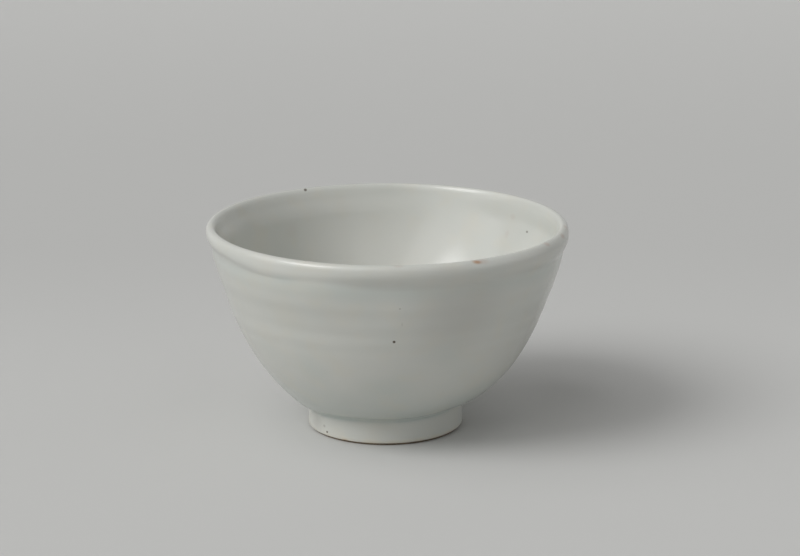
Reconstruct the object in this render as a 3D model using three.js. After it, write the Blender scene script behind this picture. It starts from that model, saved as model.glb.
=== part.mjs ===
// A small wheel-thrown stoneware bowl: a clay bowl on a luted foot ring, under three coats of glaze.
// Millimetres, +Z up, standing on z = 0 with its axis on Z. Sizes are of the finished bowl, over the glaze.
import * as THREE from "three";

const { clamp, degToRad, lerp, smoothstep } = THREE.MathUtils;

// The lip is thick and thrown outwards over a narrower neck.
const rimRadius = 60;
const height = 69.4;
const crestInset = 1.9; // from the widest point in
const crestRadius = 1.9; // towards the inside
const lipDrop = 2.4; // from the crest down to the widest point
const shoulderUp = 1.4;
const shoulderIn = 1.3;
const lipBand = 9.1; // from the crest down to the neck
const lipOverhang = 3.1;
const lipNeckReach = 2.9;
const lipEdgeReach = 2.5;

// The wall sweeps out of the foot almost level and reaches the neck almost plumb. Inside, one curve
// runs from the lip to the bottom of the well, so that the wall is thinnest at the neck.
const floorThickness = 5.4;
const undersideSlope = degToRad(18.8);
const undersideReach = 13.4;
const neckLean = degToRad(8);
const neckReach = 25.4;
const innerLean = degToRad(15);
const innerReach = 33;
const wellReach = 34;

// The foot is a ring with a glazed wall and a bare, bevelled standing edge.
const footRadius = 26;
const footTaper = 0.3; // how much narrower its root is
const footHeight = 8.8;
const footWidth = 5.2;
const footBevel = 0.5;
const junctionFillet = 2;
const recessFillet = 0.8;
const recessNub = 0.5; // how far the turned ceiling of the recess sags in its middle
const recessShare = 0.35; // handle lengths of that ceiling, as shares of its width

// Glaze is thin on the crest, where it breaks, and thick where it ran down and pooled.
const outsideCoat = 0.45;
const crestCoat = 0.25;
const pooledCoat = 0.8;
const wellCoat = 0.9;
const recessCoat = 0.35;
const glazeLine = 0.7; // wiped clean below this

// The potter's finger left one spiral of shallow rings up the outside of the wall.
const ringPitch = 6.2;
const ringDepth = 0.1;
const ringBand = 27; // from the neck down
const ringedShare = 0.6; // where along the belly's curve the finer steps for them begin

// The hand left it uneven: the neck is off centre and runs higher at one place, the lip hangs lower there and
// on one side, and the foot's top is higher towards +X than opposite. Places are round from +X.
const neckShift = 1.4;
const neckShiftPlace = degToRad(340);
const neckRise = 2.2;
const neckRisePlace = degToRad(208);
const neckRiseHold = degToRad(15); // to each side
const neckRiseSpread = degToRad(62); // to each side
const neckFade = 16; // from the neck down to where the wall is true again
const lipTilt = 0.4;
const lipSag = 0.9;
const lipSagPlace = degToRad(229);
const lipSagSpread = degToRad(24); // to each side
const footLift = 1.8;
const footLiftFade = 5; // from the foot's top up

// Steps round the bowl and along each stretch of the outline.
const segments = 44;
const beadSteps = 2;
const filletSteps = 3;
const lowerBellySteps = 7;
const ringedBellySteps = 13;
const undersideSteps = 4;
const shoulderSteps = 3;
const crestSteps = 3;
const innerWallSteps = 11;
const ceilingSteps = 2;

const quarterTurn = Math.PI / 2;
const fullTurn = Math.PI * 2;
const neckHeight = height - lipBand;
const up = new THREE.Vector2(0, 1);
const outwards = new THREE.Vector2(1, 0);
const inwards = new THREE.Vector2(-1, 0);

// How strongly the throwing rings show at a height.
function ringsAt(z) {
  const low = neckHeight - ringBand;
  const rising = smoothstep(z, low, low + ringPitch);
  return rising * (1 - smoothstep(z, neckHeight - ringPitch, neckHeight));
}

// How far round one place lies from another, either way.
function apart(angle, place) {
  return Math.abs(Math.atan2(Math.sin(angle - place), Math.cos(angle - place)));
}

// How far a level slice of the bowl lies off the axis.
function shiftAt(z) {
  const rising = clamp((z - neckHeight + neckFade) / neckFade, 0, 1);
  return neckShift * rising * (1 - smoothstep(z, neckHeight, height - lipDrop));
}

// How far a point near the neck is raised.
function riseAt(z, angle) {
  const below = smoothstep(z, neckHeight - neckFade, neckHeight);
  const above = 1 - smoothstep(z, neckHeight, height - lipDrop);
  return neckRise * below * above * (1 - smoothstep(apart(angle, neckRisePlace), neckRiseHold, neckRiseSpread));
}

// How far the lip hangs at a height and an angle: most halfway between its neck and its widest point.
function sagAt(z, angle) {
  const underside = (neckHeight + height - lipDrop) / 2;
  const local = lipSag * (1 - smoothstep(apart(angle, lipSagPlace), 0, lipSagSpread));
  const sag = local + lipTilt * Math.cos(angle - neckShiftPlace);
  return sag * smoothstep(z, neckHeight, underside) * (1 - smoothstep(z, underside, height));
}

// How far a point in or near the foot is lifted: nothing at the floor, the axis and a little above the foot.
function liftAt(r, z, angle) {
  const fading = 1 - smoothstep(z, footHeight, footHeight + footLiftFade);
  return footLift * Math.min(z / footHeight, fading) * Math.min(r / footRadius, 1) * Math.cos(angle) ** 3;
}

// A curve that leaves one point and reaches another in set directions.
function sweep(from, leaving, leavingReach, to, arriving, arrivingReach) {
  const first = from.clone().addScaledVector(leaving, leavingReach);
  const second = to.clone().addScaledVector(arriving, -arrivingReach);
  return new THREE.CubicBezierCurve(from, first, second, to);
}

// A stretch of the outline, with the clay on its left: points of the glazed skin and of the clay under it.
function stretch(curve, steps, coatFrom, coatTo, { from = 0, to = 1, ringed = false } = {}) {
  return Array.from({ length: steps + 1 }, (_, i) => {
    const skin = curve.getPoint(lerp(from, to, i / steps));
    const along = curve.getTangent(lerp(from, to, i / steps));
    const coat = lerp(coatFrom, coatTo, i / steps);
    const clay = new THREE.Vector2(skin.x - along.y * coat, skin.y + along.x * coat);
    skin.rings = clay.rings = ringed ? ringsAt(skin.y) : 0;
    return { skin, clay };
  });
}

// One run of points from several stretches that share their ends.
function joined(...stretches) {
  return stretches.flatMap((points, i) => (i ? points.slice(1) : points));
}

// The rounded lower edge of a coat, from its skin round to the clay.
function bead({ skin, clay }) {
  const side = Math.sign(skin.x - clay.x);
  const coat = skin.distanceTo(clay);
  return Array.from({ length: beadSteps }, (_, i) => {
    const angle = (quarterTurn * (i + 1)) / beadSteps;
    return new THREE.Vector2(clay.x + side * coat * Math.cos(angle), clay.y - coat * Math.sin(angle));
  });
}

// Turns an outline into a solid, then adds the rings and the unevenness. A coat's outline runs the same
// way as the clay's along the face that they share, so that their facets match, and is inside out.
function turned(outline, insideOut = false) {
  const geometry = new THREE.LatheGeometry(outline, segments);
  const position = geometry.getAttribute("position");
  for (let i = 0; i < position.count; i++) {
    const { x: radius, y: z, rings = 0 } = outline[i % outline.length];
    const angle = (fullTurn * (Math.floor(i / outline.length) % segments)) / segments;
    const r = radius + ringDepth * rings * Math.cos((fullTurn * z) / ringPitch - angle);
    const level = z + liftAt(r, z, angle) + riseAt(z, angle) - sagAt(z, angle);
    const x = r * Math.cos(angle) + shiftAt(z) * Math.cos(neckShiftPlace);
    const y = r * Math.sin(angle) + shiftAt(z) * Math.sin(neckShiftPlace);
    position.setXYZ(i, x, y, level);
  }
  if (insideOut) {
    geometry.setIndex(Array.from(geometry.index.array).reverse());
  }
  geometry.computeVertexNormals();
  return geometry;
}

const clayOf = (points) => points.map((point) => point.clay);
const skinOf = (points) => points.map((point) => point.skin);

function piece(name, geometry, material) {
  const mesh = new THREE.Mesh(geometry, material);
  mesh.name = name;
  return mesh;
}

// Outside, from the glaze line up the foot and the belly, out under the lip and over it to the crest.
const junction = new THREE.Vector2(footRadius - footTaper, footHeight);
const footUp = junction.clone().sub(new THREE.Vector2(footRadius, 0)).normalize();
const bellyOut = new THREE.Vector2(Math.cos(undersideSlope), Math.sin(undersideSlope));
const neckUp = new THREE.Vector2(Math.sin(neckLean), Math.cos(neckLean));
const footWallFrom = new THREE.Vector2(footRadius, 0).addScaledVector(footUp, glazeLine + outsideCoat);
const footWallTo = junction.clone().addScaledVector(footUp, -junctionFillet);
const bellyFrom = junction.clone().addScaledVector(bellyOut, junctionFillet);
const neck = new THREE.Vector2(rimRadius - lipOverhang, neckHeight);
const widest = new THREE.Vector2(rimRadius, height - lipDrop);
const crest = new THREE.Vector2(rimRadius - crestInset, height);

const footWallLine = new THREE.LineCurve(footWallFrom, footWallTo);
const junctionCurve = new THREE.QuadraticBezierCurve(footWallTo, junction, bellyFrom);
const bellyCurve = sweep(bellyFrom, bellyOut, undersideReach, neck, neckUp, neckReach);
const undersideCurve = sweep(neck, neckUp, lipNeckReach, widest, up, lipEdgeReach);
const shoulderCurve = sweep(widest, up, shoulderUp, crest, inwards, shoulderIn);

const footWall = stretch(footWallLine, 1, outsideCoat, pooledCoat);
const outside = joined(
  footWall,
  stretch(junctionCurve, filletSteps, pooledCoat, pooledCoat),
  stretch(bellyCurve, lowerBellySteps, pooledCoat, outsideCoat, { to: ringedShare }),
  stretch(bellyCurve, ringedBellySteps, outsideCoat, outsideCoat, { from: ringedShare, ringed: true }),
  stretch(undersideCurve, undersideSteps, outsideCoat, crestCoat),
  stretch(shoulderCurve, shoulderSteps, crestCoat, crestCoat),
);

// The recess under the bowl, from the axis out along its ceiling and down the ring to the glaze line.
const seat = footWall.at(-1).clay;
const recessRadius = footRadius - footWidth;
const ceilingHeight = seat.y + recessFillet;
const ceilingFrom = new THREE.Vector2(0, ceilingHeight - recessNub);
const ceilingTo = new THREE.Vector2(recessRadius - recessFillet, ceilingHeight);
const ceilingReach = recessShare * ceilingTo.x;
const ceilingCurve = sweep(ceilingFrom, outwards, ceilingReach, ceilingTo, outwards, ceilingReach);
const recessCorner = new THREE.EllipseCurve(
  ceilingTo.x, seat.y, recessFillet, recessFillet, quarterTurn, 0, true,
);
const ceiling = joined(
  stretch(ceilingCurve, ceilingSteps, recessCoat, recessCoat),
  stretch(recessCorner, filletSteps, recessCoat, recessCoat),
);
const recessWallLine = new THREE.LineCurve(
  new THREE.Vector2(recessRadius, seat.y),
  new THREE.Vector2(recessRadius, glazeLine + recessCoat),
);
const recessWall = stretch(recessWallLine, 1, recessCoat, recessCoat);

// Inside, from the crest down the wall and across the well to the axis.
const crestArc = new THREE.EllipseCurve(
  crest.x, crest.y - crestRadius, crestRadius, crestRadius, quarterTurn, Math.PI - innerLean,
);
const innerDown = new THREE.Vector2(-Math.sin(innerLean), -Math.cos(innerLean));
const well = new THREE.Vector2(0, ceilingFrom.y + floorThickness);
const innerWallCurve = sweep(crestArc.getPoint(1), innerDown, innerReach, well, inwards, wellReach);
const inside = joined(
  stretch(crestArc, crestSteps, crestCoat, crestCoat),
  stretch(innerWallCurve, innerWallSteps, crestCoat, wellCoat),
);

// Both coats meet on one edge at the crest, and what ends on the axis ends there exactly.
inside[0] = outside.at(-1);
for (const { skin, clay } of [inside.at(-1), ceiling[0]]) {
  skin.x = clay.x = 0;
}

const recess = joined(ceiling, recessWall);
const outsideBead = bead(footWall[0]);
const recessBead = bead(recessWall.at(-1));
const outsideGlazeFoot = outsideBead.at(-1);
const recessGlazeFoot = recessBead.at(-1);

const clayBowl = turned([
  ...clayOf(ceiling),
  ...clayOf(outside).slice(1),
  ...clayOf(inside).slice(1),
]);

// The ring stands on a flat edge between two bevels, and its flat top is luted to the seat.
const footRing = turned([
  ...clayOf(recessWall),
  recessGlazeFoot,
  new THREE.Vector2(recessGlazeFoot.x, footBevel),
  new THREE.Vector2(recessGlazeFoot.x + footBevel, 0),
  new THREE.Vector2(outsideGlazeFoot.x - footBevel, 0),
  new THREE.Vector2(outsideGlazeFoot.x, footBevel),
  outsideGlazeFoot,
  ...clayOf(footWall),
  recessWall[0].clay,
]);

// Each coat runs along the clay, and back along its own skin.
const outsideGlaze = turned(
  [outsideGlazeFoot, ...clayOf(outside), ...skinOf(outside).reverse(), ...outsideBead],
  true,
);
const insideGlaze = turned([...skinOf(inside).reverse(), ...clayOf(inside)], true);
const recessGlaze = turned([...clayOf(recess), ...recessBead.reverse(), ...skinOf(recess).reverse()], true);

const clayMaterial = new THREE.MeshStandardMaterial({ color: 0xb8a68c, roughness: 0.85, metalness: 0 });
const glazeMaterial = new THREE.MeshStandardMaterial({ color: 0xcdcfc8, roughness: 0.25, metalness: 0 });

const bowl = new THREE.Group();
bowl.add(
  piece("clay_bowl", clayBowl, clayMaterial),
  piece("foot_ring", footRing, clayMaterial),
  piece("outside_glaze", outsideGlaze, glazeMaterial),
  piece("inside_glaze", insideGlaze, glazeMaterial),
  piece("recess_glaze", recessGlaze, glazeMaterial),
);

export default bowl;
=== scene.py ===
"""A hand-thrown stoneware bowl on a pale floor: smooth spun pieces, fired glaze and clay, soft daylight."""

import math

import bmesh
import bpy
from bpy.props import FloatProperty, FloatVectorProperty, IntProperty, PointerProperty
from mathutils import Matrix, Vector, noise
from mathutils.geometry import interpolate_bezier


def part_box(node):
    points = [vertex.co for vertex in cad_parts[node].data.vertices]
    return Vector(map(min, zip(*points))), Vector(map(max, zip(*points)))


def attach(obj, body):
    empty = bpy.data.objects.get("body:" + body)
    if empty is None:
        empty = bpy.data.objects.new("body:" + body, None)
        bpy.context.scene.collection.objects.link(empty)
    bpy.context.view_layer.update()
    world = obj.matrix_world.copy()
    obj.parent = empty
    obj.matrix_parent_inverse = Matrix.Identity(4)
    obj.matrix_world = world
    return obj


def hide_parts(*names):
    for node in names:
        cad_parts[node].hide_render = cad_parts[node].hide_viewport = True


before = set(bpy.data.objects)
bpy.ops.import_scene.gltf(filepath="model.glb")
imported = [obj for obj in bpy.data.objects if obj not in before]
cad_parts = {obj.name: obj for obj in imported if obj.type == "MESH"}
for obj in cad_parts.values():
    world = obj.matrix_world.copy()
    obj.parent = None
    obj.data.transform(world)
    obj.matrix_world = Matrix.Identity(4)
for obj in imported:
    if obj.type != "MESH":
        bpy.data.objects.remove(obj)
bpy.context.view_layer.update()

bl_info = {
    "name": "Pottery Bowl",
    "version": (1, 0, 0),
    "blender": (4, 5, 0),
    "location": "3D View > Sidebar > Bowl",
    "description": "Throws, turns and glazes a small stoneware bowl around its packed frame",
    "category": "Object",
}

MM = 0.001
UP = Vector((0, 0, 1))
OUTWARDS = Vector((1, 0, 0))
QUARTER_TURN = math.pi / 2
FULL_TURN = math.pi * 2

RIM_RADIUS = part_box("outside_glaze")[1].x
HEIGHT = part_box("outside_glaze")[1].z
ROOT = "root"

# Steps of the short stretches of the outline.
FOOT_WALL_STEPS = 8
RECESS_WALL_STEPS = 6
BEAD_STEPS = 4

MERGE_DISTANCE = 0.002 * MM
SHARP_ANGLE = math.radians(50)

# The Mix node names its sockets alike for numbers and for colours, so those for colours go by number.
COLOUR_A, COLOUR_B, COLOUR_OUT = 6, 7, 2


def linear(hex_colour):
    """An sRGB hex colour as the linear numbers that shaders and lamps take."""
    shares = [int(hex_colour[i:i + 2], 16) / 255 for i in (0, 2, 4)]
    return tuple(s / 12.92 if s <= 0.04045 else ((s + 0.055) / 1.055) ** 2.4 for s in shares)


def size(name, millimetres, description):
    """A length that a user may change, given in millimetres and kept in metres."""
    return FloatProperty(name=name, description=description, default=millimetres * MM, unit="LENGTH")


def angle(name, degrees, description):
    """An angle that a user may change, given in degrees."""
    return FloatProperty(name=name, description=description, default=math.radians(degrees), subtype="ANGLE")


def share(name, value, description):
    """A share or strength that a user may change."""
    return FloatProperty(name=name, description=description, default=value, subtype="FACTOR")


def colour(name, hex_colour, description):
    """A colour that a user may change, given as sRGB hex."""
    return FloatVectorProperty(
        name=name, description=description, default=linear(hex_colour), subtype="COLOR", min=0, max=1
    )


class BowlShape(bpy.types.PropertyGroup):
    """Sizes of the bowl over its glaze."""

    crest_in: size("Crest in", 1.9, "From the lip's outer edge in to its crest")
    edge_in: size("Edge in", 1.8, "From the crest in to where the inner wall begins")
    edge_deep: size("Edge deep", 3, "From the crest down to where the inner wall begins")
    edge_top: size("Edge top", 0.9, "Handle of the lip's inner edge at the crest")
    edge_side: size("Edge side", 1.7, "Handle of the lip's inner edge at the inner wall")
    lip_drop: size("Lip drop", 2.4, "From the crest down to the lip's widest point")
    shoulder_in: size("Shoulder in", 1.2, "Handle of the lip's shoulder at the crest")
    shoulder_up: size("Shoulder up", 1.4, "Handle of the lip's shoulder at its widest point")
    lip_band: size("Lip band", 9.1, "From the crest of the lip down to the neck")
    lip_overhang: size("Lip overhang", 3.1, "How far the lip stands out over the neck")
    lip_outer_reach: size("Lip outer reach", 2.5, "Handle of the lip's underside at its widest point")
    lip_neck_reach: size("Lip neck reach", 2.9, "Handle of the lip's underside at the neck")
    inner_lean: angle("Inner lean", 15, "Outward lean of the inner wall at the lip")
    floor: size("Floor", 5.4, "Thickness of the floor in the middle")
    underside_slope: angle("Underside slope", 18.8, "Slope of the wall where it leaves the foot")
    underside_reach: size("Underside reach", 13.4, "Handle where the wall leaves the foot")
    neck_lean: angle("Neck lean", 8, "Outward lean of the wall at the neck")
    neck_reach: size("Neck reach", 25.4, "Handle of the wall below the neck")
    inner_reach: size("Inner reach", 33, "Handle of the inner wall below the lip")
    well_reach: size("Well reach", 34, "Handle of the inner wall at the bottom of the well")
    foot_radius: size("Foot radius", 26, "Outer radius of the foot ring")
    foot_taper: size("Foot taper", 0.3, "How much narrower the foot's root is")
    foot_height: size("Foot height", 8.8, "Where the foot meets the wall")
    foot_width: size("Foot width", 5.2, "Width of the ring")
    foot_bevel: size("Foot bevel", 0.5, "Bevels beside the standing edge")
    junction_fillet: size("Junction fillet", 1.2, "Rounding between foot and wall")
    recess_fillet: size("Recess fillet", 0.8, "Rounding in the corner of the recess")
    recess_nub: size("Recess nub", 0.5, "How far the recess's ceiling sags in its middle")
    glaze_line: size("Glaze line", 0.7, "Wiped clean of glaze below this")


class GlazeCoats(bpy.types.PropertyGroup):
    """Thickness of the glaze."""

    crest: size("Crest", 0.25, "On the crest of the lip")
    groove: size("Groove", 0.6, "In the groove under the lip")
    outside: size("Outside", 0.45, "On the wall, outside")
    pooled: size("Pooled", 0.8, "Round the foot, where it ran down")
    inside: size("Inside", 0.4, "On the wall, inside")
    well: size("Well", 0.9, "At the bottom of the well")
    recess: size("Recess", 0.35, "Under the foot")


class HandMarks(bpy.types.PropertyGroup):
    """What the hand left uneven."""

    neck_shift: size("Neck shift", 1.4, "How far the neck lies off the axis")
    neck_shift_way: angle("Neck shift way", 340, "The way that it is shifted, round from +X")
    neck_shift_fade: size("Neck shift fade", 16, "From the neck down to where the wall is round")
    lip_sag: size("Lip sag", 0.9, "How far the lip's underside hangs at its lowest place")
    lip_sag_place: angle("Lip sag place", 229, "Where it hangs lowest, round from +X")
    lip_sag_spread: angle("Lip sag spread", 24, "How far it hangs to each side")
    lip_tilt: size("Lip tilt", 0.4, "How much deeper the lip's band is on one side than on the other")
    lip_tilt_way: angle("Lip tilt way", 340, "The way to its deeper side, round from +X")
    neck_rise: size("Neck rise", 1.3, "How much higher the neck runs at one place")
    neck_fill: size("Neck fill", 2.4, "How much shallower the neck is there, outside")
    neck_rise_place: angle("Neck rise place", 205, "Where it runs highest, round from +X")
    neck_rise_hold: angle("Neck rise hold", 38, "How far it stays up to each side")
    neck_rise_spread: angle("Neck rise spread", 66, "How far to each side it is back down")
    edge_round: size("Edge round", 1.1, "How much further in the lip's inner edge reaches at one place")
    edge_round_fade: size("Edge round fade", 45, "From the crest down to where the wall is back in place")
    edge_round_place: angle("Edge round place", 140, "Where it reaches furthest in, round from +X")
    edge_round_hold: angle("Edge round hold", 20, "How far it stays so to each side")
    edge_round_spread: angle("Edge round spread", 60, "How far to each side it is back")
    lip_swell: size("Lip swell", 0.75, "How much further out the lip's face stands at one place")
    lip_swell_place: angle("Lip swell place", 322, "Where it stands furthest out, round from +X")
    lip_swell_hold: angle("Lip swell hold", 14, "How far it stays so to each side")
    lip_swell_spread: angle("Lip swell spread", 36, "How far to each side it is back")
    foot_shift: size("Foot shift", 0.7, "How far the foot lies off the axis towards -X")
    foot_shift_fade: size("Foot shift fade", 14, "From the foot's top up to where the wall is back in place")
    foot_lift: size("Foot lift", 1.8, "How much higher the foot's top is towards +X")
    foot_lift_fade: size("Foot lift fade", 5, "From the foot's top up to where the wall is level")
    ring_pitch: size("Ring pitch", 6.2, "Between throwing rings")
    ring_depth: size("Ring depth", 0.045, "Depth of the throwing rings")
    ring_band: size("Ring band", 27, "From the neck down to the last throwing ring")
    wobble: size("Wobble", 0.12, "Slow waver of the whole surface")
    wobble_length: size("Wobble length", 22, "Distance between two wavers")


class Detail(bpy.types.PropertyGroup):
    """Fineness of the meshes."""

    turns: IntProperty(name="Steps round", description="Faces round the bowl", default=256, min=24)
    step: size("Step along", 0.6, "Length of a face along the outline")
    back_every: IntProperty(
        name="Back rows", description="Hidden backs take one row in this many", default=4, min=1
    )


class GlazeFinish(bpy.types.PropertyGroup):
    """Colours and gloss of the fired glaze, with a grey that paints shade and a pale that paints light."""

    body: colour("Body", "cacbc5", "Milky grey-white of the glaze")
    thick: colour("Thick", "bcc3be", "Blue-green grey where it pooled")
    thin: colour("Thin", "cfc8b6", "Warm cream where it is thin over the clay")
    # Painted shade: this grey darkens the glaze at the front right of the outer wall, and also greys the left
    # end of the foot.
    grey: colour("Grey", "b8b8b2", "Greyer glaze at the front right")
    # Painted light: this paler glaze brightens the back of the inside, where the window's light and its
    # reflection fall.
    pale: colour("Pale", "d8d8d2", "Milkier glaze at the back, inside")
    iron: colour("Iron", "4a3c2e", "Iron specks")
    rust: colour("Rust", "a97c55", "Rust spot on the lip")
    blush: colour("Blush", "b79f94", "Pink-brown blush on the lip")
    roughness: share("Roughness", 0.2, "Roughness of the satin glaze")
    peel_depth: size("Peel depth", 0.004, "Depth of the orange peel")


class ClayFinish(bpy.types.PropertyGroup):
    """Colours of the bare clay."""

    fired: colour("Fired", "8a7a64", "Brown-grey of the bare standing edge")
    dark: colour("Dark", "5b4d3d", "Darker grain and dirt")


class StageLook(bpy.types.PropertyGroup):
    """Floor, lamps and sky."""

    floor: colour("Floor", "c9c9c7", "Pale matte floor")
    # Painted shade: a broad soft shadow on the floor behind the bowl.
    floor_painted_shade: colour("Floor behind", "c0c0be", "The same floor where it is darkest, behind the bowl")
    window_turn: angle("Window turn", 209, "The way to the big soft window, round from +X")
    window_height: angle("Window height", 43, "Height of the window over the floor")
    window_middle: angle("Window middle", 30, "How wide its bright middle looks from the bowl")
    window_width: angle("Window width", 72, "How wide the whole window looks from the bowl")
    window_light: FloatProperty(name="Window light", description="Strength of its middle", default=1.15)
    window_glow: FloatProperty(name="Window glow", description="Strength of the rest of it", default=1.28)
    right_turn: angle("Right wall turn", 340, "The way to the lit wall on the right, round from +X")
    right_light: FloatProperty(name="Right wall light", description="Strength of that wall", default=0.50)
    back_turn: angle("Back wall turn", 100, "The way to the lit wall at the back, round from +X")
    back_light: FloatProperty(name="Back wall light", description="Strength of that wall", default=0.29)
    wall_height: angle("Wall height", 30, "Height of the middle of both walls over the floor")
    wall_width: angle("Wall width", 95, "How wide each wall looks from the bowl")
    sky_low: FloatProperty(name="Low sky", description="Light from round about, near the floor", default=0.24)
    sky_high: FloatProperty(name="High sky", description="Light from straight above", default=0.13)


def line(start, end, steps):
    """Points of a straight stretch."""
    return [start.lerp(end, i / steps) for i in range(steps + 1)]


def sweep(start, leaving, end, arriving, step):
    """Points of a curve that leaves one point and reaches another along two handles."""
    least_steps, length_over_chord = 3, 1.08
    steps = max(least_steps, round((end - start).length * length_over_chord / step))
    return interpolate_bezier(start, start + leaving, end - arriving, end, steps + 1)


def leaning(tilt):
    """The way up that leans outwards by an angle."""
    return Vector((math.sin(tilt), 0, math.cos(tilt)))


def arc(centre, radius, start, end, step):
    """Points of an arc, from one angle to another, counted from level and outwards."""
    least_steps = 4
    steps = max(least_steps, round(abs(end - start) * radius / step))
    turned = [start + (end - start) * i / steps for i in range(steps + 1)]
    return [centre + radius * Vector((math.cos(a), 0, math.sin(a))) for a in turned]


def joined(*stretches):
    """One run of points from stretches that share their ends."""
    return [p for i, points in enumerate(stretches) for p in points[1 if i else 0:]]


def coated(skin, knots):
    """Pairs of skin and clay, with the coat's thickness set at knots along the skin."""
    pairs = []
    last = len(skin) - 1
    for i, point in enumerate(skin):
        along = (skin[min(i + 1, last)] - skin[max(i - 1, 0)]).normalized()
        inwards = Vector((-along.z, 0, along.x))
        place = i / last
        for (start, thick_start), (end, thick_end) in zip(knots, knots[1:]):
            if start <= place <= end:
                coat = thick_start + (thick_end - thick_start) * (place - start) / (end - start)
        pairs.append((point, point + inwards * coat))
    return pairs


def on_axis(pairs, place):
    """The same pairs, with the one at a place put exactly on the axis."""
    for point in pairs[place]:
        point.x = 0
    return pairs


class Outline:
    """Runs of the bowl's outline, each as (skin, clay) pairs with the clay on the left."""

    def __init__(self, shape, coats, step):
        self.shape, self.coats, self.step = shape, coats, step
        self.neck = Vector((RIM_RADIUS - shape.lip_overhang, 0, HEIGHT - shape.lip_band))
        self.crest = Vector((RIM_RADIUS - shape.crest_in, 0, HEIGHT))
        self.junction = Vector((shape.foot_radius - shape.foot_taper, 0, shape.foot_height))
        self.outside = self.make_outside()
        self.recess = self.make_recess()
        self.inside = self.make_inside()
        # Both coats meet on one edge at the crest.
        self.inside[0] = self.outside[-1]

    def make_outside(self):
        """From the glaze line up the foot and the belly, out under the lip and over it to the crest."""
        shape, coats, fine = self.shape, self.coats, self.step / 2
        foot = Vector((shape.foot_radius, 0, 0))
        foot_up = (self.junction - foot).normalized()
        belly_out = Vector((math.cos(shape.underside_slope), 0, math.sin(shape.underside_slope)))
        wall_start = foot + foot_up * (shape.glaze_line + coats.outside)
        wall_end = self.junction - foot_up * shape.junction_fillet
        belly_start = self.junction + belly_out * shape.junction_fillet
        neck_up = leaning(shape.neck_lean)
        widest = Vector((RIM_RADIUS, 0, HEIGHT - shape.lip_drop))
        fillet_handle_share = 0.6
        foot_wall = line(wall_start, wall_end, FOOT_WALL_STEPS)
        fillet = sweep(wall_end, foot_up * shape.junction_fillet * fillet_handle_share,
                       belly_start, belly_out * shape.junction_fillet * fillet_handle_share, fine)
        belly = sweep(belly_start, belly_out * shape.underside_reach,
                      self.neck, neck_up * shape.neck_reach, self.step)
        underside = sweep(self.neck, neck_up * shape.lip_neck_reach,
                          widest, UP * shape.lip_outer_reach, fine)
        shoulder = sweep(widest, UP * shape.shoulder_up, self.crest, -OUTWARDS * shape.shoulder_in, fine)
        skin = joined(foot_wall, fillet, belly, underside, shoulder)
        # The bowl sits on its foot ring where the foot's wall ends.
        self.seat = FOOT_WALL_STEPS
        runs = [len(foot_wall), len(fillet), len(belly), len(underside), len(shoulder)]
        wall_foot, root, neck, edge = (sum(runs[:i]) / sum(runs) for i in range(1, 5))
        pool_start, groove_start = wall_foot * 0.85, neck * 0.95
        knots = [
            (0, coats.outside), (pool_start, coats.outside), (wall_foot, coats.pooled), (root, coats.pooled),
            ((root + neck) / 2, coats.outside), (groove_start, coats.outside), (neck, coats.groove),
            ((neck + edge) / 2, coats.outside), (1, coats.crest),
        ]
        return coated(skin, knots)

    def make_recess(self):
        """From the axis out along the recess's ceiling and down its wall to the glaze line."""
        shape, coats, fine = self.shape, self.coats, self.step / 2
        seat = self.outside[self.seat][1].z
        radius = shape.foot_radius - shape.foot_width
        corner = Vector((radius - shape.recess_fillet, 0, seat))
        middle = Vector((0, 0, seat + shape.recess_fillet - shape.recess_nub))
        edge = corner + UP * shape.recess_fillet
        ceiling_handle_share = 0.35
        reach = OUTWARDS * edge.x * ceiling_handle_share
        ceiling = sweep(middle, reach, edge, reach, self.step * 2)
        turn = arc(corner, shape.recess_fillet, QUARTER_TURN, 0, fine)
        hem = Vector((radius, 0, shape.glaze_line + coats.recess))
        wall = line(Vector((radius, 0, seat)), hem, RECESS_WALL_STEPS)
        pairs = coated(joined(ceiling, turn, wall), [(0, coats.recess), (1, coats.recess)])
        self.recess_wall = len(pairs) - 1 - RECESS_WALL_STEPS
        self.recess_middle = middle
        return on_axis(pairs, 0)

    def make_inside(self):
        """From the crest down the wall and across the well to the axis."""
        shape, coats = self.shape, self.coats
        well = self.recess_middle + UP * shape.floor
        down = -leaning(shape.inner_lean)
        below = self.crest - OUTWARDS * shape.edge_in - UP * shape.edge_deep
        roll = sweep(self.crest, -OUTWARDS * shape.edge_top, below, down * shape.edge_side, self.step / 3)
        wall = sweep(below, down * shape.inner_reach, well, -OUTWARDS * shape.well_reach, self.step)
        skin = joined(roll, wall)
        mouth = len(roll) / len(skin)
        return on_axis(coated(skin, [(0, coats.crest), (mouth, coats.inside), (1, coats.well)]), -1)


def thinned(points, every):
    """Every so many points, with both ends kept."""
    return points[:-1:every] + [points[-1]]


def bead(skin, clay):
    """The rounded lower edge of a coat, from its skin round to the clay."""
    thick = skin.x - clay.x
    turns = [QUARTER_TURN * i / BEAD_STEPS for i in range(1, BEAD_STEPS + 1)]
    return [clay + Vector((thick * math.cos(a), 0, -abs(thick) * math.sin(a))) for a in turns]


def eased(value, low, high):
    """0 below low and 1 above high, with a smooth rise between."""
    part = min(max((value - low) / (high - low), 0), 1)
    return part * part * (3 - 2 * part)


def nearness(turn, place, hold, spread):
    """1 near a place round the bowl, 0 far from it, with a smooth fall between."""
    return 1 - eased(abs(math.remainder(turn - place, FULL_TURN)), hold, spread)


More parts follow.
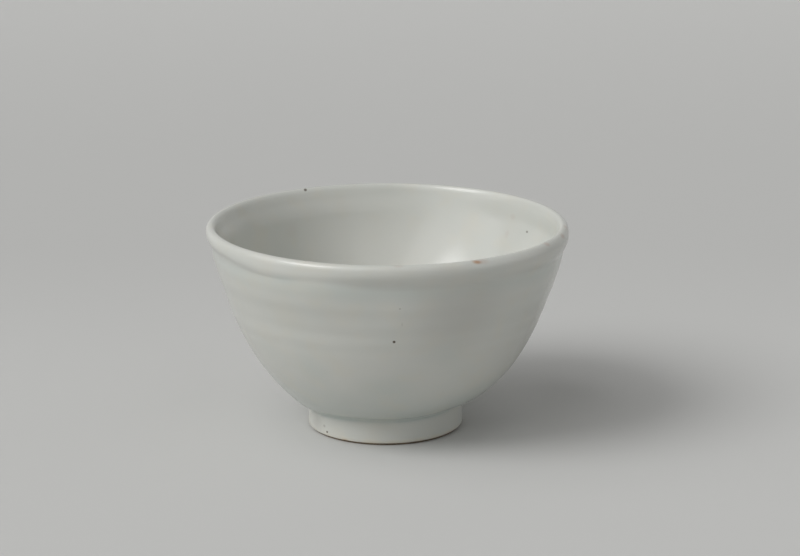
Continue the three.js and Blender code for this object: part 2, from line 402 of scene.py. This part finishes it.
class Hand:
    """Moves a point of the true turned form to where the hand left it."""

    def __init__(self, shape, marks):
        self.shape, self.marks = shape, marks
        self.neck = HEIGHT - shape.lip_band
        self.widest = HEIGHT - shape.lip_drop
        way = marks.neck_shift_way
        self.shift = Vector((math.cos(way), math.sin(way), 0)) * marks.neck_shift

    def shift_share(self, z):
        """1 at the neck, and less above it and below, to where a slice lies on the axis."""
        rising = min(max((z - self.neck) / self.marks.neck_shift_fade + 1, 0), 1)
        return rising * (1 - eased(z, self.neck, self.widest))

    def sag(self, z, turn):
        """How far the lip hangs, most at its lowest place and more on its deeper side."""
        marks = self.marks
        middle = (self.neck + self.widest) / 2
        height = eased(z, self.neck, middle) * (1 - eased(z, middle, HEIGHT))
        hanging = marks.lip_sag * nearness(turn, marks.lip_sag_place, 0, marks.lip_sag_spread)
        return height * (hanging + marks.lip_tilt * math.cos(turn - marks.lip_tilt_way))

    def neck_share(self, z, turn):
        """1 at the neck where it runs highest, and less above, below and to each side."""
        marks = self.marks
        below = eased(z, self.neck - marks.neck_shift_fade, self.neck)
        above = 1 - eased(z, self.neck, self.widest)
        near = nearness(turn, marks.neck_rise_place, marks.neck_rise_hold, marks.neck_rise_spread)
        return below * above * near

    def inset(self, place, turn, inner):
        """How much further in the inner edge of the lip lies where it is rounder."""
        shape, marks = self.shape, self.marks
        from_crest = RIM_RADIUS - shape.crest_in - math.hypot(place.x, place.y)
        reached = min(max(from_crest / shape.edge_in, 0), 1)
        fading = 1 - eased(HEIGHT - place.z, shape.edge_deep, marks.edge_round_fade)
        near = nearness(turn, marks.edge_round_place, marks.edge_round_hold, marks.edge_round_spread)
        return marks.edge_round * inner * reached * fading * near

    def swell(self, z, turn):
        """How much further out the lip's face stands where it is fuller."""
        marks = self.marks
        fullest = self.widest - self.shape.lip_drop / 4
        height = eased(z, self.neck, fullest) * (1 - eased(z, self.widest, HEIGHT))
        near = nearness(turn, marks.lip_swell_place, marks.lip_swell_hold, marks.lip_swell_spread)
        return marks.lip_swell * height * near

    def lift(self, radius, z, turn):
        """How far a point in or near the foot is raised towards +X, and lowered opposite."""
        marks, top = self.marks, self.shape.foot_height
        height = min(z / top, 1 - eased(z, top, top + marks.foot_lift_fade))
        one_sided = math.cos(turn) ** 3
        return marks.foot_lift * height * min(radius / self.shape.foot_radius, 1) * one_sided

    def rings(self, z, turn):
        """How far the spiral of throwing rings stands out."""
        marks = self.marks
        low, high = self.neck - marks.ring_band, self.neck - marks.ring_pitch
        height = eased(z, low, low + marks.ring_pitch) * (1 - eased(z, high, self.neck))
        return marks.ring_depth * height * math.cos(FULL_TURN * z / marks.ring_pitch - turn)

    def waver(self, place):
        """How far the slow waver of the surface stands out."""
        marks = self.marks
        fading = eased(place.z, 0, self.shape.foot_height) * (1 - eased(place.z, self.neck, HEIGHT))
        return marks.wobble * fading * noise.noise(place / marks.wobble_length)

    def moved(self, place, inner):
        """The moved point, where inner is 1 on the inside of the lip and the wall, and 0 elsewhere."""
        shape, marks = self.shape, self.marks
        radius, turn = math.hypot(place.x, place.y), math.atan2(place.y, place.x)
        if radius > 0:
            beyond_foot = eased(radius, shape.foot_radius - shape.foot_width, shape.foot_radius)
            change = (self.rings(place.z, turn) + self.waver(place)) * beyond_foot * (1 - inner)
            change -= self.inset(place, turn, inner)
            change += marks.neck_fill * self.neck_share(place.z, turn) * (1 - inner)
            change += self.swell(place.z, turn) * (1 - inner)
            place = Vector((place.x * (1 + change / radius), place.y * (1 + change / radius), place.z))
        level = place.z + self.lift(radius, place.z, turn) - self.sag(place.z, turn)
        level += marks.neck_rise * self.neck_share(place.z, turn)
        shift = self.shift * self.shift_share(place.z)
        low = 1 - eased(place.z, shape.foot_height, shape.foot_height + marks.foot_shift_fade)
        return Vector((place.x + shift.x - marks.foot_shift * low, place.y + shift.y, level))


def spun(name, outline, material, nodes, inner_from=None, pools=None):
    """Spins a closed outline into a piece, gives it the hand's unevenness and sets it in the frame.

    inner_from is the first point on the bowl's inside, and pools how far the glaze has run together at each.
    """
    settings = bpy.context.scene
    detail = settings.bowl_detail
    mesh = bmesh.new()
    pooling = mesh.verts.layers.float.new("pooling")
    inner = mesh.verts.layers.float.new("inner")
    verts = [mesh.verts.new(point) for point in outline]
    for vert, pool in zip(verts, pools or []):
        vert[pooling] = pool
    for vert in verts[len(verts) if inner_from is None else inner_from:]:
        vert[inner] = 1
    ends_on_axis = outline[0].x == 0 and outline[-1].x == 0
    loop = verts if ends_on_axis else verts + verts[:1]
    edges = [mesh.edges.new(pair) for pair in zip(loop, loop[1:])]
    bmesh.ops.spin(
        mesh, geom=verts + edges, cent=(0, 0, 0), axis=UP, angle=FULL_TURN,
        steps=detail.turns, use_merge=True, use_duplicate=False,
    )
    bmesh.ops.remove_doubles(mesh, verts=mesh.verts, dist=MERGE_DISTANCE)
    bmesh.ops.recalc_face_normals(mesh, faces=mesh.faces)
    hand = Hand(settings.bowl_shape, settings.bowl_marks)
    for vert in mesh.verts:
        vert.co = hand.moved(vert.co, vert[inner])
    for face in mesh.faces:
        face.smooth = True
    data = bpy.data.meshes.new(name)
    mesh.to_mesh(data)
    mesh.free()
    data.set_sharp_from_angle(angle=SHARP_ANGLE)
    data.materials.append(material)
    piece = bpy.data.objects.new(name, data)
    settings.collection.objects.link(piece)
    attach(piece, ROOT)
    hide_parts(*nodes)


def outline_now():
    """The outline for the sizes that the scene holds now."""
    scene = bpy.context.scene
    return Outline(scene.bowl_shape, scene.bowl_coats, scene.bowl_detail.step)


def skin_of(pairs):
    """The glazed side of a run."""
    return [skin for skin, clay in pairs]


def clay_of(pairs, every):
    """The clay's side of a run, with one point kept of so many."""
    return thinned([clay for skin, clay in pairs], every)


def pools_of(pairs, thin, thick):
    """How much of a coat has run together at each of its points, from its thickness."""
    return [min(max(((skin - clay).length - thin) / (thick - thin), 0), 1) for skin, clay in pairs]


def node(tree, kind, inputs=None, out=0, **settings):
    """Adds a node with its settings, links or sets its inputs, and gives the wanted output."""
    made = tree.nodes.new(kind)
    for name, value in settings.items():
        setattr(made, name, value)
    for place, value in (inputs or {}).items():
        if isinstance(value, bpy.types.NodeSocket):
            tree.links.new(value, made.inputs[place])
        else:
            made.inputs[place].default_value = value
    return made.outputs[out]


def new_material(name):
    """A new material with its tree, its shader, and places on the piece in millimetres."""
    material = bpy.data.materials.new(name)
    material.use_nodes = True
    tree = material.node_tree
    coordinates = node(tree, "ShaderNodeTexCoord", out="Object")
    places = node(tree, "ShaderNodeMapping", {"Vector": coordinates, "Scale": (1 / MM,) * 3})
    return material, tree, tree.nodes["Principled BSDF"], places


def clouds(tree, places, length, low, high, top=1.0, shift=(0, 0, 0)):
    """Soft patches about a length apart in millimetres, from 0 to top between two levels of a noise."""
    moved = node(tree, "ShaderNodeMapping", {"Vector": places, "Location": shift})
    cloud = node(tree, "ShaderNodeTexNoise", {"Vector": moved, "Scale": 1 / length, "Detail": 2.0})
    levels = {"Value": cloud, "From Min": low, "From Max": high, "To Max": top}
    return node(tree, "ShaderNodeMapRange", levels, interpolation_type="SMOOTHSTEP")


def spot(tree, places, centre, radii, soft, top):
    """Up to top inside an ellipsoid at a place in millimetres, eased to 0 at its edge."""
    inside = node(tree, "ShaderNodeMapping", {
        "Vector": places,
        "Location": tuple(-c / r for c, r in zip(centre, radii)),
        "Scale": tuple(1 / r for r in radii),
    })
    away = node(tree, "ShaderNodeVectorMath", {0: inside}, out="Value", operation="LENGTH")
    levels = {"Value": away, "From Min": 1.0, "From Max": 1.0 - soft, "To Max": top}
    return node(tree, "ShaderNodeMapRange", levels, interpolation_type="SMOOTHSTEP")


# Each mark: its tint, its place and half-sizes in millimetres, its softness and its strength. Most are marks
# of the kiln, but the grey at the front right is painted shade, the grey on the foot only darkens its left
# end, and the pale one inside is painted light.
KILN_MARKS_AND_PAINTED_LIGHT = (
    # Painted shade: darker glaze on the front right of the outer wall.
    ("grey", (22.0, -50.0, 52.0), (24, 18, 22), 0.95, 0.6),
    # Greys the left end of the foot, a little darker there.
    ("grey", (-23.5, -12.0, 4.5), (4.5, 7, 6), 0.95, 0.8),
    # Painted light: paler glaze on the back of the inside, where the window's light and reflection fall.
    ("pale", (-6.0, 46.0, 48.0), (38, 18, 26), 0.95, 0.75),
    ("thin", (-32.0, -45.0, 50.0), (11, 9, 10), 0.95, 0.2),
    ("thick", (-32.9, -49.7, 63.0), (10, 5, 2.2), 0.9, 0.35),
    ("thick", (-23.8, -40.8, 29.8), (9, 8, 8), 0.95, 0.3),
    ("thick", (-0.5, -44.9, 25.8), (14, 7, 7), 0.95, 0.4),
    ("thick", (20.4, -46.8, 38.2), (8, 8, 8), 0.95, 0.25),
    ("iron", (2.1, -52.8, 43.3), (0.6, 0.9, 0.6), 0.5, 0.95),
    ("iron", (3.9, -56.2, 55.0), (0.4, 0.9, 0.4), 0.8, 0.4),
    ("iron", (4.6, -54.5, 49.6), (0.35, 0.9, 1.1), 0.9, 0.2),
    ("iron", (-47.4, -13.4, 33.9), (1.2, 0.7, 0.8), 0.6, 0.7),
    ("iron", (-28.6, 49.2, 69.1), (0.75, 1.2, 0.75), 0.6, 0.8),
    ("iron", (47.9, 27.3, 59.2), (0.7, 0.9, 0.5), 0.6, 0.6),
    ("iron", (-20.0, -17.3, 2.0), (0.45, 0.8, 0.5), 0.6, 0.85),
    ("iron", (-21.0, -16.2, 3.7), (0.8, 1.1, 0.7), 0.9, 0.35),
    ("rust", (-14.0, -22.3, 0.9), (1.8, 1.5, 0.5), 0.9, 0.4),
    ("blush", (29.6, -51.4, 69.0), (4.6, 2.4, 1.2), 0.9, 0.35),
    ("rust", (28.0, -52.3, 69.0), (2.6, 1.5, 0.9), 0.9, 0.75),
    ("rust", (24.2, -9.5, 1.8), (0.9, 1.1, 0.6), 0.9, 0.5),
    ("blush", (51.1, -29.7, 69.1), (2.6, 1.8, 1.0), 0.9, 0.45),
    ("blush", (57.0, -17.5, 68.7), (1.6, 2.8, 1.3), 0.9, 0.5),
    ("blush", (58.7, -6.5, 69.1), (1.2, 3.0, 1.3), 0.9, 0.4),
    ("blush", (3.3, -58.3, 69.3), (2.6, 1.4, 0.8), 0.9, 0.3),
    ("blush", (43.4, 35.1, 62.6), (2.0, 2.0, 1.6), 0.9, 0.15),
    ("blush", (41.4, 34.7, 56.6), (1.6, 1.6, 2.2), 0.9, 0.15),
    ("blush", (-33.8, 40.4, 56.7), (4.5, 4.5, 4.0), 0.95, 0.08),
)


def glaze_material():
    """Feldspathic glaze, dipped and fired: milky satin, cream where it is thin and bluer where it pooled."""
    name = "dipped_feldspathic_glaze"
    if name in bpy.data.materials:
        return bpy.data.materials[name]
    finish = bpy.context.scene.bowl_glaze
    material, tree, shader, places = new_material(name)

    # Where the glaze ran together it is cooler and bluer, in drifts about 17 mm apart.
    pooling = node(tree, "ShaderNodeAttribute", out="Fac", attribute_name="pooling")
    drifts = clouds(tree, places, length=17, low=0.4, high=0.7, top=0.15, shift=(3, 11, 7))
    pooled = node(tree, "ShaderNodeMath", {0: pooling, 1: drifts}, operation="ADD", use_clamp=True)

    # Where it is thin the clay warms it to cream, in patches, and in a worn hem over the standing edge.
    warmth = clouds(tree, places, length=9, low=0.45, high=0.75, top=0.2, shift=(31, 5, 17))
    height = node(tree, "ShaderNodeSeparateXYZ", {0: places}, out="Z")
    hem_top, hem_bottom = 2.6, 0.9
    low = node(tree, "ShaderNodeMapRange", {
        "Value": height, "From Min": hem_top, "From Max": hem_bottom,
    }, interpolation_type="SMOOTHSTEP")
    worn = clouds(tree, places, length=5, low=0.3, high=0.65, top=0.7, shift=(13, 2, 9))
    hem = node(tree, "ShaderNodeMath", {0: low, 1: worn}, operation="MULTIPLY")

    # Fine iron pepper: of cells about 14 mm across, two in five hold a faint grain 0.6 mm across.
    cell_size, rim_share, heart_share, grain_strength = 14, 0.022, 0.012, 0.3
    none_below, all_above = 0.55, 0.6
    cells = node(tree, "ShaderNodeTexVoronoi", {"Vector": places, "Scale": 1 / cell_size}).node
    grain = node(tree, "ShaderNodeMapRange", {
        "Value": cells.outputs["Distance"],
        "From Min": rim_share,
        "From Max": heart_share,
        "To Max": grain_strength,
    }, interpolation_type="SMOOTHSTEP")
    chance = node(tree, "ShaderNodeSeparateColor", {0: cells.outputs["Color"]})
    kept = node(tree, "ShaderNodeMapRange", {
        "Value": chance, "From Min": none_below, "From Max": all_above,
    }, interpolation_type="SMOOTHSTEP")
    pepper = node(tree, "ShaderNodeMath", {0: grain, 1: kept}, operation="MULTIPLY")

    # Each mask lays its tint over the ones before it, and the larger marks come last: those of the kiln, with
    # the painted shade and painted light among them.
    masks = [("thick", pooled), ("thin", warmth), ("thin", hem), ("iron", pepper)]
    masks += [(tint, spot(tree, places, *mark)) for tint, *mark in KILN_MARKS_AND_PAINTED_LIGHT]
    tinted = (*finish.body, 1)
    for tint, mask in masks:
        tinted = node(tree, "ShaderNodeMix", {
            "Factor": mask, COLOUR_A: tinted, COLOUR_B: (*getattr(finish, tint), 1),
        }, out=COLOUR_OUT, data_type="RGBA")
    tree.links.new(tinted, shader.inputs["Base Color"])

    # The fired skin has the faint orange peel of a satin glaze, 1.6 mm from wave to wave, on a swell of 7 mm.
    peel_length, swell_length, swell_over_peel = 1.6, 7, 3.0
    peel = node(tree, "ShaderNodeTexNoise", {"Vector": places, "Scale": 1 / peel_length, "Detail": 0.0})
    swell = node(tree, "ShaderNodeTexNoise", {"Vector": places, "Scale": 1 / swell_length, "Detail": 1.0})
    relief = node(tree, "ShaderNodeMath", {0: swell, 1: swell_over_peel, 2: peel}, operation="MULTIPLY_ADD")
    bump = node(tree, "ShaderNodeBump", {"Height": relief, "Distance": finish.peel_depth, "Strength": 1.0})
    tree.links.new(bump, shader.inputs["Normal"])
    shader.inputs["Roughness"].default_value = finish.roughness
    shader.inputs["IOR"].default_value = 1.5
    return material


def clay_material():
    """Stoneware clay, fired bare: dry, brown-grey and gritty, with floor dirt in its grain."""
    name = "fired_stoneware"
    if name in bpy.data.materials:
        return bpy.data.materials[name]
    finish = bpy.context.scene.bowl_clay
    material, tree, shader, places = new_material(name)

    # Grog shows as grains about 0.5 mm across, and scorched patches are about 8 mm.
    grit = clouds(tree, places, length=0.5, low=0.4, high=0.65, top=0.6)
    scorch = clouds(tree, places, length=8, low=0.35, high=0.7, top=0.5)
    dirt = node(tree, "ShaderNodeMath", {0: grit, 1: scorch}, operation="ADD", use_clamp=True)
    tinted = node(tree, "ShaderNodeMix", {
        "Factor": dirt, COLOUR_A: (*finish.fired, 1), COLOUR_B: (*finish.dark, 1),
    }, out=COLOUR_OUT, data_type="RGBA")
    tree.links.new(tinted, shader.inputs["Base Color"])

    # Its bare face is pitted between the grains.
    pit_length, pit_depth = 0.4, 0.12 * MM
    pits = node(tree, "ShaderNodeTexNoise", {"Vector": places, "Scale": 1 / pit_length, "Detail": 4.0})
    bump = node(tree, "ShaderNodeBump", {"Height": pits, "Distance": pit_depth, "Strength": 0.8})
    tree.links.new(bump, shader.inputs["Normal"])
    shader.inputs["Roughness"].default_value = 0.85
    shader.inputs["IOR"].default_value = 1.45
    return material


class BOWL_OT_throw(bpy.types.Operator):
    """Throws the clay bowl that carries the glaze"""

    bl_idname = "bowl.throw"
    bl_label = "Throw Bowl"

    def execute(self, context):
        outline = outline_now()
        every = context.scene.bowl_detail.back_every
        recess = outline.recess[:outline.recess_wall + 1]
        outside = outline.outside[outline.seat:]
        under = [*clay_of(recess, every), *clay_of(outside, every)]
        points = [*under, *clay_of(outline.inside, every)[1:]]
        spun("thrown_bowl", points, clay_material(), ["clay_bowl"], inner_from=len(under))
        return {"FINISHED"}


class BOWL_OT_turn_foot(bpy.types.Operator):
    """Turns the foot ring with its bare standing edge"""

    bl_idname = "bowl.turn_foot"
    bl_label = "Turn Foot"

    def execute(self, context):
        shape = context.scene.bowl_shape
        outline = outline_now()
        recess_wall = outline.recess[outline.recess_wall:]
        foot_wall = outline.outside[:outline.seat + 1]
        inner = bead(*recess_wall[-1])[-1]
        outer = bead(*foot_wall[0])[-1]
        bevel = shape.foot_bevel
        points = [
            *clay_of(recess_wall, 1),
            inner,
            Vector((inner.x, 0, bevel)),
            Vector((inner.x + bevel, 0, 0)),
            Vector((outer.x - bevel, 0, 0)),
            Vector((outer.x, 0, bevel)),
            outer,
            *clay_of(foot_wall, 1),
        ]
        spun("turned_foot", points, clay_material(), ["foot_ring"])
        return {"FINISHED"}


class BOWL_OT_glaze(bpy.types.Operator):
    """Dips the bowl: one coat outside, one inside and one in the recess under the foot"""

    bl_idname = "bowl.glaze"
    bl_label = "Glaze Bowl"

    def execute(self, context):
        outline = outline_now()
        every = context.scene.bowl_detail.back_every
        outside, inside, recess = outline.outside, outline.inside, outline.recess
        coats = context.scene.bowl_coats
        # Inside, glaze thicker than this looks run together.
        pools_inside_from = coats.outside * 1.4
        hem = bead(*outside[0])[::-1]
        outside_back = clay_of(outside, every)[-2::-1]
        inside_back = clay_of(inside, every)[::-1]
        spun("outside_coat", [*hem, *skin_of(outside), *outside_back], glaze_material(),
             ["outside_glaze"], pools=[0] * len(hem) + pools_of(outside, coats.outside, coats.pooled))
        spun("inside_coat", [*skin_of(inside), *inside_back], glaze_material(),
             ["inside_glaze"], inner_from=0, pools=pools_of(inside, pools_inside_from, coats.well))
        spun("recess_coat", [*skin_of(recess), *bead(*recess[-1]), *clay_of(recess, every)[::-1]],
             glaze_material(), ["recess_glaze"])
        return {"FINISHED"}


class BOWL_OT_stage(bpy.types.Operator):
    """Sets the pale floor, the lamps, the sky and the camera"""

    bl_idname = "bowl.stage"
    bl_label = "Set Stage"

    def execute(self, context):
        make_floor(context.scene.bowl_stage)
        make_lights(context.scene.bowl_stage)
        make_camera()
        return {"FINISHED"}


def paper_material(look):
    """Matte background paper: plain, pale and dry, a little darker behind the bowl than elsewhere, where a
    broad soft shadow is painted on it.
    """
    material, tree, shader, places = new_material("matte_paper")
    # In millimetres behind the bowl's axis, the painted shadow starts to darken the floor, is darkest for a
    # while, and is even again.
    dark_from, darkest_from, darkest_to, even_from = 30.0, 260.0, 330.0, 1150.0
    behind = node(tree, "ShaderNodeSeparateXYZ", {0: places}, out="Y")
    darkening = node(tree, "ShaderNodeMapRange", {
        "Value": behind, "From Min": dark_from, "From Max": darkest_from,
    }, interpolation_type="SMOOTHSTEP")
    lightening = node(tree, "ShaderNodeMapRange", {
        "Value": behind, "From Min": even_from, "From Max": darkest_to,
    }, interpolation_type="SMOOTHSTEP")
    # The painted shadow's share of the floor colour.
    band = node(tree, "ShaderNodeMath", {0: darkening, 1: lightening}, operation="MULTIPLY")
    tinted = node(tree, "ShaderNodeMix", {
        "Factor": band, COLOUR_A: (*look.floor, 1), COLOUR_B: (*look.floor_painted_shade, 1),
    }, out=COLOUR_OUT, data_type="RGBA")
    tree.links.new(tinted, shader.inputs["Base Color"])
    shader.inputs["Roughness"].default_value = 0.9
    return material


def make_floor(look):
    """A floor that curves up into a backdrop, in metres."""
    front, back, half_width = -3.0, 2.2, 4.0
    cove, cove_steps, backdrop_height = 1.2, 24, 3.0
    mesh = bmesh.new()
    verts = [mesh.verts.new((side * half_width, front, 0)) for side in (-1, 1)]
    edge = mesh.edges.new(verts)
    flat = bmesh.ops.extrude_edge_only(mesh, edges=[edge])["geom"]
    far = [g for g in flat if isinstance(g, bmesh.types.BMVert)]
    bmesh.ops.translate(mesh, verts=far, vec=(0, back - front, 0))
    far_edge = [g for g in flat if isinstance(g, bmesh.types.BMEdge) and all(v in far for v in g.verts)]
    curve = bmesh.ops.spin(
        mesh, geom=far + far_edge, cent=(0, back, cove), axis=(1, 0, 0), angle=QUARTER_TURN,
        steps=cove_steps, use_merge=False, use_duplicate=False,
    )["geom_last"]
    top_edge = [g for g in curve if isinstance(g, bmesh.types.BMEdge)]
    risen = bmesh.ops.extrude_edge_only(mesh, edges=top_edge)["geom"]
    top = [g for g in risen if isinstance(g, bmesh.types.BMVert)]
    bmesh.ops.translate(mesh, verts=top, vec=(0, 0, backdrop_height))
    bmesh.ops.remove_doubles(mesh, verts=mesh.verts, dist=MM)
    bmesh.ops.recalc_face_normals(mesh, faces=mesh.faces)
    for face in mesh.faces:
        face.smooth = True
    data = bpy.data.meshes.new("floor")
    mesh.to_mesh(data)
    mesh.free()
    data.materials.append(paper_material(look))
    floor = bpy.data.objects.new("floor", data)
    bpy.context.scene.collection.objects.link(floor)


def make_lights(look):
    """One big soft window at the left, brightest in its middle, two faintly lit walls and a dim sky."""
    lamps = (
        ("window", look.window_turn, look.window_height, look.window_middle, look.window_light),
        ("window_glow", look.window_turn, look.window_height, look.window_width, look.window_glow),
        ("right_wall", look.right_turn, look.wall_height, look.wall_width, look.right_light),
        ("back_wall", look.back_turn, look.wall_height, look.wall_width, look.back_light),
    )
    for name, turn, height, width, light in lamps:
        lamp = bpy.data.lights.new(name, "SUN")
        lamp.angle, lamp.energy = width, light
        holder = bpy.data.objects.new(name, lamp)
        way = Vector((math.cos(turn) * math.cos(height), math.sin(turn) * math.cos(height), math.sin(height)))
        holder.rotation_euler = way.to_track_quat("Z", "Y").to_euler()
        bpy.context.scene.collection.objects.link(holder)

    # The sky goes from its low strength, level with the floor, to its high one, most of the way up.
    high_sky_from = 0.9
    world = bpy.data.worlds.new("studio")
    world.use_nodes = True
    tree = world.node_tree
    directions = node(tree, "ShaderNodeTexCoord", out="Generated")
    height = node(tree, "ShaderNodeSeparateXYZ", {0: directions}, out="Z")
    strength = node(tree, "ShaderNodeMapRange", {
        "Value": height, "From Max": high_sky_from, "To Min": look.sky_low, "To Max": look.sky_high,
    }, interpolation_type="SMOOTHSTEP")
    sky = tree.nodes["Background"]
    sky.inputs["Color"].default_value = (1, 1, 1, 1)
    tree.links.new(strength, sky.inputs["Strength"])
    bpy.context.scene.world = world


def make_camera():
    """The photograph's view, from 854 mm in front of the bowl's middle and 16.1 degrees above it."""
    place = Vector((0, -820.58, 266.568)) * MM
    aim = Vector((4.219, 0, 50.117)) * MM
    camera = bpy.data.cameras.new("camera")
    camera.sensor_width, camera.lens = 36, 114.7
    holder = bpy.data.objects.new("camera", camera)
    holder.location = place
    holder.rotation_euler = (aim - place).to_track_quat("-Z", "Y").to_euler()
    bpy.context.scene.collection.objects.link(holder)
    bpy.context.scene.camera = holder
    bpy.context.scene.view_settings.view_transform = "Standard"


class BOWL_PT_panel(bpy.types.Panel):
    """Lists the steps of making the bowl"""

    bl_idname = "BOWL_PT_panel"
    bl_label = "Pottery Bowl"
    bl_space_type = "VIEW_3D"
    bl_region_type = "UI"
    bl_category = "Bowl"

    def draw(self, context):
        for operator in OPERATORS:
            self.layout.operator(operator.bl_idname)
        for group, _ in GROUPS:
            holder = getattr(context.scene, group)
            box = self.layout.box()
            for name in holder.__annotations__:
                box.prop(holder, name)


OPERATORS = [BOWL_OT_throw, BOWL_OT_turn_foot, BOWL_OT_glaze, BOWL_OT_stage]
GROUPS = [
    ("bowl_shape", BowlShape),
    ("bowl_coats", GlazeCoats),
    ("bowl_marks", HandMarks),
    ("bowl_detail", Detail),
    ("bowl_glaze", GlazeFinish),
    ("bowl_clay", ClayFinish),
    ("bowl_stage", StageLook),
]


def register():
    for name, group in GROUPS:
        bpy.utils.register_class(group)
        setattr(bpy.types.Scene, name, PointerProperty(type=group))
    for kind in [*OPERATORS, BOWL_PT_panel]:
        bpy.utils.register_class(kind)


def unregister():
    for kind in [BOWL_PT_panel, *reversed(OPERATORS)]:
        bpy.utils.unregister_class(kind)
    for name, group in reversed(GROUPS):
        delattr(bpy.types.Scene, name)
        bpy.utils.unregister_class(group)


def main():
    """Makes the bowl and its stage."""
    register()
    bpy.ops.bowl.throw()
    bpy.ops.bowl.turn_foot()
    bpy.ops.bowl.glaze()
    bpy.ops.bowl.stage()


if __name__ == "__main__":
    main()
